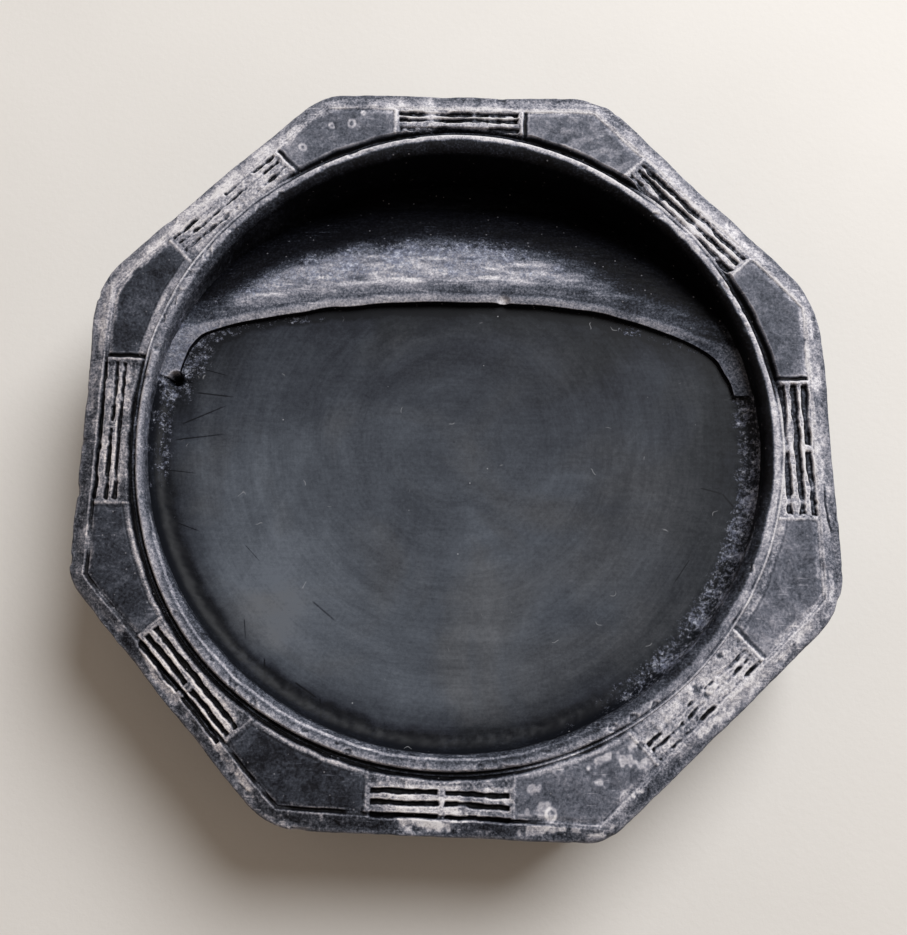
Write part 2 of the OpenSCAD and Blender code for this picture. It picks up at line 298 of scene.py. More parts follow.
class Columns:
    """Columns of a rim grid. Each stands on one side, at base along it, moved by share towards the line
    that halves the corner at the side's left (+1) or right (-1) end."""

    def __init__(self, side, base, share, end):
        self.side, self.base, self.share, self.end = (np.array(a) for a in (side, base, share, end))
        at_corner = np.where(self.end > 0, self.side, (self.side - 1) % SIDES)
        half = HALF_TURN[at_corner]
        self.corner_u = HALF_LENGTH[self.side] * self.end
        self.lean = np.tan(half) * -self.end
        self.round_r = CORNER_WEAR[at_corner] / (1 / np.cos(half) - 1)
        self.round_l = self.round_r * np.tan(half)

    def widened(self, shape):
        """The same columns for a grid of points."""
        return Columns(*(np.broadcast_to(a, shape) for a in (self.side, self.base, self.share, self.end)))

    def along(self, inset):
        """Distance along the side from its middle, at an inset from the edge."""
        return self.base + self.share * (self.corner_u + self.lean * inset - self.base)

    def worn(self, inset):
        """The inset moved in where the corner is rounded off, less and less away from the edge."""
        moved = inset
        for _ in range(4):
            past = np.clip(self.round_l - np.abs(self.corner_u - self.along(moved)), 0, None)
            drop = self.round_r - np.sqrt(np.clip(self.round_r**2 - past**2, 0, None))
            moved = inset + drop * np.exp(-np.clip(inset, 0, None) / 2.2)
        return moved

    def place(self, inset):
        """x and y at an inset."""
        u = self.along(inset)
        xy = MIDDLES[self.side] + u[..., None] * ALONG[self.side] - inset[..., None] * OUTWARD[self.side]
        return u, xy[..., 0], xy[..., 1]

    def inset_of_ring(self, radius):
        """The inset at which each column reaches a circle around the well."""
        def reached(inset):
            _, x, y = self.place(inset)
            return reach_of(x, y) <= radius + around(RING_STRAY, x, y)

        return turning_point(np.full(self.side.shape, 2.0), np.full(self.side.shape, 25.0), reached)


SPARE = 4  # rows and columns past a grid's border, for its normals
STEP_ALONG = 0.2


def trigram_columns(i, spare=SPARE):
    right = DIVIDER_RIGHT[i] - DIVIDER_HALF
    left = DIVIDER_LEFT[i] + DIVIDER_HALF
    count = round((left - right) / STEP_ALONG)
    u = right + (left - right) * np.arange(-spare, count + 1 + spare) / count
    return Columns(np.full(len(u), i), u, np.zeros(len(u)), np.where(u > 0, 1, -1))


def tablet_columns(i, spare=SPARE):
    j = (i + 1) % SIDES
    left = DIVIDER_LEFT[i] + DIVIDER_HALF
    right = DIVIDER_RIGHT[j] - DIVIDER_HALF
    count_i = round((HALF_LENGTH[i] - left) / STEP_ALONG)
    count_j = round((HALF_LENGTH[j] + right) / STEP_ALONG)
    share_i = np.arange(-spare, count_i + 1) / count_i
    share_j = np.arange(count_j - 1, -1 - spare, -1) / count_j
    return Columns(
        np.concatenate([np.full(len(share_i), i), np.full(len(share_j), j)]),
        np.concatenate([np.full(len(share_i), left), np.full(len(share_j), right)]),
        np.concatenate([share_i, share_j]),
        np.concatenate([np.ones(len(share_i)), -np.ones(len(share_j))]),
    )


# ---------------------------------------------------------------- the rim

WALL_ROWS = 14
EDGE_ROWS = 9
BAND_ROWS = 36
INNER_ROWS = 34
BAND_END = 6.2


def rim_rows(spare=SPARE):
    """For each row: its share of the way up the wall, round the edge, across the band and in to the ring."""
    level = np.ones(EDGE_ROWS + BAND_ROWS + INNER_ROWS + spare + 1)
    up = np.concatenate([np.arange(-spare, WALL_ROWS) / WALL_ROWS, level])
    k = np.arange(-spare, len(up) - spare) - WALL_ROWS
    edge = np.clip(k / EDGE_ROWS, 0, 1)
    band = np.clip((k - EDGE_ROWS) / BAND_ROWS, 0, 1)
    inner = np.clip((k - EDGE_ROWS - BAND_ROWS) / INNER_ROWS, 0, None)
    return up[:, None], edge[:, None], band[:, None], inner[:, None]


def spots(places, side, u, inset, stretch, shape):
    """Adds up shape(distance from the middle, radius) over a list of round spots, each on its own side."""
    total = 0
    for on_side, at_u, at_inset, radius in places:
        total = total + (side == on_side) * shape(np.hypot(u - at_u, (inset - at_inset) * stretch), radius)
    return total


def ring_marks(side, u, inset):
    """1 on the small pale rings that stain the tablets, 0 elsewhere."""
    return spots(RING_MARKS, side, u, inset, 0.8, lambda away, radius: bump(away - radius, 0.08, 0.3))


def pits(side, u, inset, ragged):
    """1 in the pits, with ragged edges, and in the crack that curls across the border of the east side."""
    def pit(away, radius):
        return smooth(radius + 0.6, radius - 0.3, away + 2 * ragged)

    curl = 1.9 - 0.02 * np.clip(-9 - u, 0, None) ** 2
    crack = bump(inset - curl + 0.3 * ragged, 0.08, 0.3) * bump(u + 10.5, 2.5, 2.5)
    return spots(PITS, side, u, inset, 1, pit) + (side == 0) * crack


def ring_openness(x, y):
    """How far the groove around the ring is open, 1, or full of dust, 0."""
    return np.clip(around(RING_OPEN, x, y, 0.3) + 0.15 * noise(at_height(x, y), 3, 70), 0, 1)


def rim_relief(side, u, inset, x, y):
    """Height of the rim's top, and what lies on it: dust with painted highlight and shade, grit, a brown tint
    and roughness.
    """
    flat = at_height(x, y)
    share = (u + HALF_LENGTH[side]) / (2 * HALF_LENGTH[side])
    border = mix(BORDER_INSET[(side - 1) % SIDES], BORDER_INSET[side], np.clip(share, 0, 1))
    border = border + 0.16 * noise(flat, 6, 1) + 0.06 * noise(flat, 1.5, 2)
    past = inset - border  # distance in from the border groove
    ring_gap = reach_of(x, y) - RING_R - around(RING_STRAY, x, y)
    ring_gap = ring_gap + 0.12 * noise(flat, 2.5, 3)
    left, right = DIVIDER_LEFT[side], DIVIDER_RIGHT[side]
    inside = smooth(0.05, 0.4, past)
    lean = 0.15 * noise(flat, 3, 4)
    on_trigram = smooth(left + 0.2, left - 0.2, u) * smooth(right - 0.2, right + 0.2, u) * inside
    on_tablet = smooth(left + 0.5, left + 0.9, u + lean) + smooth(right - 0.5, right - 0.9, u + lean)

    z = 0.09 * cloud(flat, 9, 11) + 0.07 * cloud(flat, 2.0, 14) + 0.03 * cloud(flat, 0.7, 17)
    z -= 0.6 * smooth(0, -2.6, past)  # the border falls a little towards the edge
    groove = np.clip(around(GROOVE_OPEN, x, y) * (1 + 0.7 * noise(flat, 3, 21)), 0, 1)
    groove = groove * bump(past, 0.14, 0.3)
    z -= 0.75 * groove

    fill = np.clip(around(LINE_FILL, x, y) + 0.5 * noise(flat, 2.4, 5) + 0.25 * noise(flat, 0.8, 6), 0, 1)
    kept_open = np.array(LINE_FILL)[2 * side] < 0.6  # whole lines stay open in their middle
    cut = np.zeros_like(z)
    ridge = np.zeros_like(z)
    for k in range(3):
        next_in = LINE_INSET[side, k + 1] if k < 2 else LINE_INSET[side, 2] + 1.7
        between = inset - (LINE_INSET[side, k] + next_in) / 2 + 0.16 * noise(flat, 3.4, 31 + k)
        ridge = np.maximum(ridge, bump(between, 0.12, 0.5))
        middle = LINE_INSET[side, k] + 0.16 * noise(flat, 3.4, 31 + k) + 0.08 * noise(flat, 1.1, 36 + k)
        ends = 0.3 * noise(flat, 1.2, 39 + k)
        whole = LINES[side, k] * bump(u - BRIDGE_AT[side], 1.0, 2.0)
        reach = smooth(left - 0.25, left - 0.6, u + ends) * smooth(right + 0.25, right + 0.6, u + ends)
        broken = (LINES[side, k] == 0) * bump(u - BRIDGE_AT[side] - 0.2 * noise(flat, 1, 41 + k), 0.35, 0.5)
        filled = fill * (1 - 0.8 * whole * kept_open)
        half = LINE_HALF[side] * (1 - 0.8 * filled) + 0.06 * noise(flat, 1.5, 44 + k)
        cut = np.maximum(cut, bump(inset - middle, half, 0.32) * reach * (1 - broken) * (1 - 0.9 * filled))
    z -= LINE_DEPTH * cut
    z += on_trigram * (0.08 * cloud(flat, 0.9, 51) - 0.12)
    pitted = pits(side, u, inset, 0.25 * noise(flat, 0.9, 47))
    z -= 0.15 * pitted

    beside = np.zeros_like(z)
    for edge, sign, depth in ((left, 1, CUT_LEFT[side]), (right, -1, CUT_RIGHT[side])):
        off = sign * (u - edge) + 0.1 * noise(flat, 1.6, 61)
        depth = np.clip(depth * (1 + 0.5 * noise(flat, 2, 62)), 0, 1)
        beside = np.maximum(beside, depth * bump(off - 0.9, 0.10, 0.5) * inside)
        z += 0.12 * bump(off, 0.3, 0.35) * inside
    z -= 0.5 * beside

    # Tablets stand flat, with a soft bevel along the border and a steep drop into the ring groove
    z -= 0.28 * smooth(1.3, 0.3, past) * on_tablet * inside
    drop = smooth(0.85, 0.05, ring_gap) * ring_openness(x, y)
    z -= RING_EDGE_DROP * drop
    bar = around(BAR, x, y)
    split = bar * bump(ring_gap - 1.45, 0.05, 0.3) * on_tablet
    z -= 0.08 * split
    on_bar = bar * smooth(1.55, 1.25, ring_gap) * on_tablet

    ragged = past + 0.45 * noise(flat, 2.2, 81) + 0.2 * noise(flat, 0.8, 83)
    tablet_top = on_tablet * smooth(0.35, 1.1, ragged) * (1 - on_bar)
    blotch = noise(at_height(u * 0.35, inset * 1.3, side), 1.3, 91) + 0.4 * noise(flat, 0.8, 92)
    blotch = smooth(0.05, 0.5, blotch) * around(BLOTCHES, x, y) * bump(inset - 1.6, 0.7, 0.9)
    dust_and_painted_light = mix(around(BORDER_DUST, x, y), around(EDGE_DUST, x, y), smooth(-0.9, 0.1, past))
    # Painted highlight along the border groove, on the sides that face the lamp.
    dust_and_painted_light += 0.42 * blotch + around(BORDER_HIGHLIGHT, x, y) * bump(past, 0.12, 0.4)
    dust_and_painted_light = mix(dust_and_painted_light, around(DUST, x, y, 0.3), np.maximum(on_trigram, tablet_top))
    slanted = at_height(x * 0.5 + y * 0.3, y * 0.9 - x * 0.4)
    smear = smooth(0.1, 0.6, noise(slanted, 1.5, 93) + 0.4 * noise(flat, 0.7, 94))
    dust_and_painted_light += 0.34 * smear * around(SMEARS, x, y) * tablet_top + 0.3 * ring_marks(side, u, inset)
    dust_and_painted_light += around(RIDGE_DUST, x, y) * ridge * on_trigram * (0.8 + 0.7 * noise(flat, 1.8, 97))
    dust_and_painted_light = mix(dust_and_painted_light, 0.56, on_bar)
    dust_and_painted_light += (0.10 * cloud(flat, 7, 95) + 0.08 * cloud(flat, 1.8, 98)) * (1 - 0.5 * tablet_top)
    dust_and_painted_light = mix(dust_and_painted_light, around(LINE_DUST, x, y), smooth(0.2, 0.75, cut))
    # Open grooves, cuts and the drop into the ring groove are painted near black: partly ink, partly painted
    # shade.
    dark = np.maximum(np.maximum(beside, 0.85 * groove), np.maximum(smooth(0.1, 0.7, drop), 0.1 * split))
    dust_and_painted_light = mix(dust_and_painted_light, 0.03, np.maximum(dark, 0.5 * pitted))
    rough = 1 - 0.5 * tablet_top
    grit = 0.5 * on_bar
    # A brown tint, strongest on the west and south-west.
    brown = around(BROWN, x, y) * (1 - 0.6 * tablet_top)
    return z, {"dust_and_painted_light": dust_and_painted_light, "grit": grit, "brown": brown, "rough": rough}


def wall_dents(points):
    """How far the block's rough outer wall stands in, at points on it."""
    return 0.07 * cloud(points, 2.2, 111) + 0.05 * noise(points, 7, 115) - 0.15


def wall_dust(points):
    return 0.34 + 0.10 * cloud(points, 3, 131)


def rim_zone(columns):
    """Points and masks of one zone of the rim."""
    up, edge, band, inner = rim_rows()
    spot = at_height(*columns.place(np.zeros(len(columns.side)))[1:])
    round_r = (1.5 + 0.5 * noise(spot, 6, 101))[None]
    ring_inset = columns.inset_of_ring(RING_R)[None]
    inset = round_r * (1 - np.cos(edge * TAU / 4)) + band * (BAND_END - round_r)
    inset = inset + inner * (ring_inset - BAND_END)
    wide = columns.widened(inset.shape)
    _, x, y = wide.place(wide.worn(inset))
    rise = mix(SEAT, -round_r, up) + round_r * np.sin(edge * TAU / 4)
    rough = at_height(x, y, rise)
    chip = 0.35 * smooth(0.5, 0.85, noise(rough, 3.0, 121)) * bump(edge - 0.5, 0.3, 0.4) * (band <= 0)
    inset = inset + wall_dents(rough) * (band <= 0) + chip
    u, x, y = wide.place(wide.worn(inset))
    z, looks = rim_relief(wide.side, u, inset, x, y)
    on_top = smooth(0.2, 1, edge)
    looks["dust_and_painted_light"] = mix(wall_dust(rough), looks["dust_and_painted_light"], on_top) + 0.2 * chip
    looks["grit"] = looks["grit"] * on_top
    return {"points": at_height(x, y, rise + z * on_top - 0.4 * chip), **looks}


# ---------------------------------------------------------------- the well

LIP_CENTRE_Y = LIP_Y - LIP_ARC_R
BANK_MID = LIP_W - BANK_R * math.sin(BANK_START)
BANK_TOP = LIP_Z - BANK_R * math.cos(BANK_START)
BANK_END = BANK_MID + math.sqrt(BANK_R**2 - (POOL_Z - BANK_TOP) ** 2)
SWEEP_R = WALL_R - SWEEP_W
LEDGE_ANGLE = math.asin((LEDGE_END_Y - WELL[1]) / (WALL_R - LEDGE_W / 2))
HOLE_X = WELL[0] - math.sqrt((WALL_R - HOLE_INSET) ** 2 - (LEDGE_END_Y - WELL[1]) ** 2)


def past_lip(x, y):
    """Distance behind the lip's front edge, a long arc that swells a little right of its middle."""
    swell = 0.9 * np.exp(-(((x - 24) / 15) ** 2)) + 0.2 * noise(at_height(x, y), 5, 301)
    return np.hypot(x - WELL[0], y - LIP_CENTRE_Y) - LIP_ARC_R - swell


def in_ledge(x, y):
    """True on the lip and on the ledges that run from its ends along the wall, with rounded corners."""
    curve = np.where(x > 0, 2.4, 1.2)
    to_lip = past_lip(x, y) / curve
    to_ledge = (reach_of(x, y) - WALL_R + LEDGE_W - 0.3 * noise(at_height(x, y), 3, 303)) / curve
    return (np.logaddexp(to_lip, to_ledge) > 0) & (y > LEDGE_END_Y)


def beyond_lip(extra):
    return lambda x, y: past_lip(x, y) > extra


def ray_reach(angle, past, limit):
    """How far a ray from the middle of the well runs before past(x, y) is true, at most limit."""
    return turning_point(np.zeros_like(angle), np.full_like(angle, limit), lambda r: past(*polar(angle, r)))


def crossing_angles(past):
    """The first and last directions in which past(x, y) is true at the wall."""
    angle = np.linspace(0, TAU / 2, 4001)
    inside = past(*polar(angle, WALL_R))
    return angle[inside][0], angle[inside][-1]


def polar_grid(angle, inner, outer, shares):
    """x and y of a grid from an inner to an outer reach along rays from the middle of the well."""
    return polar(angle, mix(inner, outer, shares[:, None]))


def hole(x, y):
    """1 in the small hole at the left end of the lip, 0 outside it."""
    return smooth(HOLE_R + 0.3, HOLE_R - 0.3, np.hypot(x - HOLE_X, y - LEDGE_END_Y))


def lip_chip(x, y):
    """1 in the chip broken out of the lip's front edge, 0 away from it."""
    return smooth(1.5, 0.3, np.hypot(x - CHIP_X, past_lip(x, y) - 0.6))


def bed_height(x, y):
    r = reach_of(x, y)
    hollow = -BED_DEPTH - BED_HOLLOW * (1 - np.clip(r / SWEEP_R, 0, 1) ** 2)
    rise = np.clip((r - SWEEP_R) / SWEEP_W, 0, 1)
    sweep = SWEEP_H * (1 - np.sqrt(1 - 0.98 * rise**2))
    flat = at_height(x, y)
    ripple = 0.05 * cloud(flat, 14, 201) + 0.012 * cloud(flat, 3, 205)
    gritty = smooth(SWEEP_R - 1.5, SWEEP_R + 0.5, r) * 0.08 * cloud(flat, 1.0, 207)
    return hollow + sweep + ripple + gritty - HOLE_DEPTH * hole(x, y)


def behind_lip_height(x, y):
    """Height of the lip's crest, its ledges, the bank behind it and the pool floor."""
    past = past_lip(x, y)
    flat = at_height(x, y)
    across = np.clip((past - BANK_MID) / BANK_R, 0, 0.98)
    bank = np.maximum(BANK_TOP + BANK_R * np.sqrt(1 - across**2), POOL_Z)
    crest = LIP_Z - 0.3 * smooth(1.5, 0, past) + 0.1 * bump(past - 1.1, 0.2, 0.9)
    z = np.where(past > LIP_W, bank, crest)
    along_wall = smooth(3.0, 0.0, past) * smooth(WALL_R - LEDGE_W - 2.5, WALL_R - LEDGE_W, reach_of(x, y))
    ledge = LIP_Z + 0.7 * smooth(WALL_R - LEDGE_W, WALL_R, reach_of(x, y))
    z = mix(z, ledge, along_wall)
    sunk = smooth(20, 11, y) * (x < 0)  # the left ledge slopes down to the hole
    z = mix(z, bed_height(x, y) + 0.25, sunk * smooth(6, 2, past))
    streaks = 0.04 * cloud(at_height(0.3 * x, y), 0.9, 215) - 0.7 * lip_chip(x, y)
    return z + 0.06 * cloud(flat, 7, 211) + streaks + 0.02 * cloud(flat, 0.8, 219) - HOLE_DEPTH * hole(x, y)


def plain_looks(points, dust_and_painted_light, grit=0.0, brown=0.0, rough=0.6):
    looks = {"dust_and_painted_light": dust_and_painted_light, "grit": grit, "brown": brown, "rough": rough}
    return {"points": points, **{key: value + 0 * points[..., 0] for key, value in looks.items()}}


def lip_looks(points):
    """Dust and crust behind the lip's front edge. They thin out down the bank, soonest on its right. Past
    them the bank is painted near black, partly ink stain and partly painted shadow of the north wall, and it
    is darker towards the right.
    """
    x, y = points[..., 0], points[..., 1]
    past = past_lip(x, y)
    reach = np.maximum(13.5 - 0.006 * (x + 8) ** 2, 4.5) + 1.0 * noise(points, 6, 253)
    shown = smooth(reach + 4.0, reach - 4.0, past)
    streaks = 0.17 * cloud(at_height(0.2 * x, y), 1.0, 261) * smooth(1.5, 5.0, past)
    streaks = streaks + 0.07 * cloud(points, 5, 265)
    # A painted highlight along the lip's front edge.
    painted_front_highlight = bump(past - 0.75, 0.2, 0.45) * smooth(52, 44, np.abs(x))
    behind_line = 0.12 * bump(past - 1.9, 0.1, 0.5) + 0.10 * bump(past - 3.0, 0.4, 1.2)
    dust_and_painted_light = 0.58 + streaks + 0.08 * painted_front_highlight - 0.07 * smooth(8, 26, x) - behind_line
    # Past the reach the bank is painted near black: partly ink stain, partly painted shadow of the north
    # wall.
    dust_and_painted_light = mix(0.02, dust_and_painted_light, shown)
    left_end = smooth(-36, -44, x) * smooth(24, 19, y)
    crust = smooth(2.5, 6.0, past) * smooth(reach + 6.0, reach - 2.0, past)
    grit = np.maximum(crust * mix(1.0, 0.5, smooth(5, 32, x)), 0.95 * left_end)
    dust_and_painted_light += 0.12 * bump(past - 6.5, 1.5, 3.0) * smooth(42, 12, np.abs(x + 10))
    dust_and_painted_light += 0.3 * lip_chip(x, y) - 0.12 * smooth(36, 44, x)
    return dust_and_painted_light - 0.5 * hole(x, y), np.clip(grit, 0, 1) * (1 - hole(x, y))


def ring_zone():
    """The groove around the ring, the rounded ring and the wall of the well, all round."""
    count = 1256
    angle = (np.arange(count) * TAU / count)[None]
    near_x, near_y = polar(angle, RING_R)
    stray = around(RING_STRAY, near_x, near_y)
    open_ring = ring_openness(near_x, near_y)
    outer = RING_R + stray
    crest = CREST_R + stray
    bead_out = 0.6  # from the crest out to the groove
    slope_drop = 1.7  # from the crest down to the upright wall

    def steps(n):
        return (np.arange(1, n + 1) / n)[:, None]

    floor_row, out_row, in_row, wall_row = steps(4), steps(6), steps(18), steps(30)
    edge = -RING_EDGE_DROP * open_ring
    groove = GROOVE_FLOOR * (0.06 + 0.94 * open_ring)
    radius = np.concatenate([
        outer,
        outer,
        mix(outer, crest + bead_out, floor_row),
        crest + bead_out * np.cos(out_row * TAU / 4),
        crest - (crest - WALL_R) * np.sin(in_row * TAU / 4),
        WALL_R + 0 * wall_row + 0 * crest,
    ])
    height = np.concatenate([
        SEAT + 0 * crest,
        edge,
        mix(edge, groove, smooth(0, 0.6, floor_row)),
        mix(groove, 0, np.sin(out_row * TAU / 4)),
        -slope_drop * (1 - np.cos(in_row * TAU / 4)) + 0 * crest,
        mix(-slope_drop, SEAT, wall_row) + 0 * crest,
    ])

    def place():
        return at_height(*polar(angle, radius), height)

    free = np.ones_like(height)
    free[:2] = 0
    free[-1] = 0
    spot = place()
    push = free * (0.03 * cloud(spot, 1.3, 221) + 0.08 * noise(spot, 6, 225) + 0.02 * cloud(spot, 0.6, 227))
    inward = smooth(CREST_R + 0.6, CREST_R - 0.8, radius - stray)
    chips = free * 0.3 * smooth(0.45, 0.8, noise(spot, 1.8, 231)) * bump(radius - crest, 0.4, 0.8)
    radius = radius + push * inward
    height = height + push * (1 - inward) - chips
    points = place()
    x, y = points[..., 0], points[..., 1]
    inner = crest - radius + 0.15 * noise(points, 2.5, 233)
    on_crest = np.maximum(bump(inner - 0.1, 0.3, 0.6), (radius > crest) * (1 - open_ring))
    # The slope and the wall are painted near black on the north and east: partly ink stain, partly painted
    # shade.
    dust_and_painted_light = mix(around(SLOPE_DUST_AND_SHADE, x, y), around(CREST_DUST, x, y), on_crest)
    dust_and_painted_light = np.maximum(dust_and_painted_light, around(SECOND_LINE, x, y) * bump(inner - 1.4, 0.12, 0.3) * 1.4)
    dust_and_painted_light = mix(dust_and_painted_light, around(WALL_DUST_AND_SHADE, x, y), smooth(-1.0, -2.0, height))
    # The open ring groove's floor is painted near black: partly ink, partly painted shade.
    dust_and_painted_light = mix(dust_and_painted_light, 0.03, open_ring * smooth(-0.5, -1.0, height) * (radius > crest))
    dust_and_painted_light += 0.3 * chips + 0.07 * cloud(points, 3, 241)
    grit = around(WALL_GRIT, x, y) * smooth(-0.6, -1.4, height)
    return plain_looks(points, dust_and_painted_light, grit, 0.0, 0.9)


def bed_zone():
    near = 1e-4
    ends = [LEDGE_ANGLE, TAU / 2 - LEDGE_ANGLE]
    angle = np.concatenate([np.arange(720) * TAU / 720] + [[end - near, end + near] for end in ends])
    angle = np.sort(angle)[None, ::-1]  # clockwise, so that the normals point up
    on_ledge = (angle > ends[0]) & (angle < ends[1])
    outer = np.where(on_ledge, ray_reach(angle, in_ledge, WALL_R), WALL_R)
    x, y = polar_grid(angle, 0.3, outer, np.linspace(0, 1, 111))
    points = at_height(x, y, bed_height(x, y))
    r = reach_of(x, y)
    near_wall = smooth(SWEEP_R - 2.5, SWEEP_R + 0.5, r)
    from_lip = -past_lip(x, y)
    # A band under the lip's front that is painted as its shadow; crust lies in it near its ends.
    lip_shadow_and_crust_band = smooth(2.6, 1.4, from_lip + 0.5 * noise(points, 3, 245)) * (y > LEDGE_END_Y)
    strayed = r + 0.7 * noise(points, 9, 243) + 0.3 * noise(points, 2, 244)
    near_foot = smooth(SWEEP_R - 6.5, SWEEP_R - 0.5, strayed) * around(FOOT_DARK, x, y)
    at_foot = smooth(SWEEP_R - 1.8, SWEEP_R + 0.4, strayed) * around(FOOT_DARK, x, y)
    # Painted light and shade on the bed: darker towards the north-east, lighter towards the south-west,
    # painted shade spreading from the lip and from the east and west walls, and a painted light patch in the
    # south-west.
    dust_and_painted_light = 0.57 - 0.30 * ((x - WELL[0]) * 0.45 + (y - WELL[1]) * 0.85) / WALL_R
    dust_and_painted_light -= 0.22 * smooth(26, 3, from_lip) + 0.20 * smooth(26, 4, WALL_R - r) * smooth(-10, 30, x)
    dust_and_painted_light -= 0.12 * smooth(22, 4, WALL_R - r) * smooth(-20, -40, x) * smooth(-30, -10, y)
    dust_and_painted_light += 0.10 * smooth(24, 8, np.hypot(x + 34, y + 26))
    dust_and_painted_light = 0.08 * np.logaddexp(dust_and_painted_light / 0.08, 0.27 / 0.08)  # never quite black away from the wall
    dust_and_painted_light = mix(dust_and_painted_light - 0.36 * near_foot, -0.05, at_foot)
    # Painted shade near the lip, and black painted shadow in the band under it.
    dust_and_painted_light = mix(dust_and_painted_light - 0.16 * smooth(9, 2, from_lip), -0.10, lip_shadow_and_crust_band)
    grit = near_wall * around(BED_GRIT, x, y)
    left_end = smooth(16, 3, np.hypot(x - HOLE_X - 3, y - LEDGE_END_Y - 4))
    grit = np.maximum(grit, 0.9 * left_end * smooth(SWEEP_R - 9, SWEEP_R - 2, r))
    grit = np.maximum(grit, 0.75 * lip_shadow_and_crust_band * smooth(8, 34, np.abs(x)))
    dust_and_painted_light = mix(dust_and_painted_light, 0.0, hole(x, y))
    return plain_looks(points, dust_and_painted_light, np.clip(grit, 0, 1) * (1 - hole(x, y)), near_wall)


def lip_zone():
    angle = np.linspace(TAU / 2 - LEDGE_ANGLE, LEDGE_ANGLE, 640)[None]
    front = ray_reach(angle, in_ledge, WALL_R)
    back = ray_reach(angle, beyond_lip(LIP_W), WALL_R)
    riser = 0.3  # how far the front edge leans back as it rises
    rise = np.array([0.0, 0.2, 0.45, 0.7, 0.9])[:, None]
    foot_x, foot_y = polar_grid(angle, front, front, np.zeros(1))
    back = np.maximum(back, front + riser + 0.05)
    top_x, top_y = polar_grid(angle, front + riser, back, np.linspace(0, 1, 27))
    lean_x, lean_y = mix(foot_x, top_x[:1], rise**2), mix(foot_y, top_y[:1], rise**2)
    top_z = behind_lip_height(top_x, top_y)
    lean_z = mix(bed_height(foot_x, foot_y) - 0.3, top_z[:1], rise)
    x = np.concatenate([lean_x, top_x])
    y = np.concatenate([lean_y, top_y])
    points = at_height(x, y, np.concatenate([lean_z, top_z]))
    on_top = np.arange(len(x))[:, None] >= len(rise)
    dust_and_painted_light, grit = lip_looks(points)
    # The lip's front face is painted near black, as painted shade.
    return plain_looks(points, mix(0.02, dust_and_painted_light, on_top), grit * on_top, 0.0, 0.7)


def bank_zone():
    first, last = crossing_angles(beyond_lip(LIP_W))
    angle = np.linspace(last, first, 560)[None]
    inner = ray_reach(angle, beyond_lip(LIP_W), WALL_R)
    outer = np.maximum(ray_reach(angle, beyond_lip(BANK_END), WALL_R), inner + 0.02)
    x, y = polar_grid(angle, inner, outer, np.linspace(0, 1, 91))
    points = at_height(x, y, behind_lip_height(x, y))
    dust_and_painted_light, grit = lip_looks(points)
    return plain_looks(points, dust_and_painted_light, grit, 0.0, 0.7)


def pool_zone():
    first, last = crossing_angles(beyond_lip(BANK_END))
    angle = np.linspace(last, first, 240)[None]
    inner = ray_reach(angle, beyond_lip(BANK_END), WALL_R)
    x, y = polar_grid(angle, inner, WALL_R + 0.001 + 0 * angle, np.linspace(0, 1, 25))
    # The pool floor is painted near black: partly ink stain, partly painted shadow of the north wall.
    return plain_looks(at_height(x, y, behind_lip_height(x, y)), 0.02, 0.0, 0.0, 0.3)


# ---------------------------------------------------------------- closed meshes from grids

# The dust attribute also carries painted light: painted shade lowers it and painted highlights raise it.
LOOKS = ("dust_and_painted_light", "grit", "brown", "rough", "ridge")


def shifted(points, axis, count):
    """The points count places further on, stopping at the grid's border."""
    places = np.clip(np.arange(points.shape[axis]) + count, 0, points.shape[axis] - 1)
    return np.take(points, places, axis)


def measured(zone, wrap=False, spare=0):
    """The zone with its normals and ridges (positive where a point stands out from those around it), and
    without its spare rows and columns."""
    around_it = SPARE if wrap else 0
    points = zone["points"]
    if wrap:
        points = np.concatenate([points[:, -around_it:], points, points[:, :around_it]], 1)
    normals = np.cross(np.gradient(points, axis=1), np.gradient(points, axis=0))
    normals /= np.maximum(np.linalg.norm(normals, axis=-1, keepdims=True), 1e-9)
    bend = 0
    for axis in (0, 1):
        bend = bend + points - (shifted(points, axis, 2) + shifted(points, axis, -2)) / 2
    full = {**zone, "normals": normals, "ridge": (bend * normals).sum(-1)}
    for key in ("normals", "ridge"):
        full[key] = full[key][:, around_it: full[key].shape[1] - around_it]
    rows, columns = zone["dust_and_painted_light"].shape
    return {key: value[spare: rows - spare, spare: columns - spare] for key, value in full.items()}


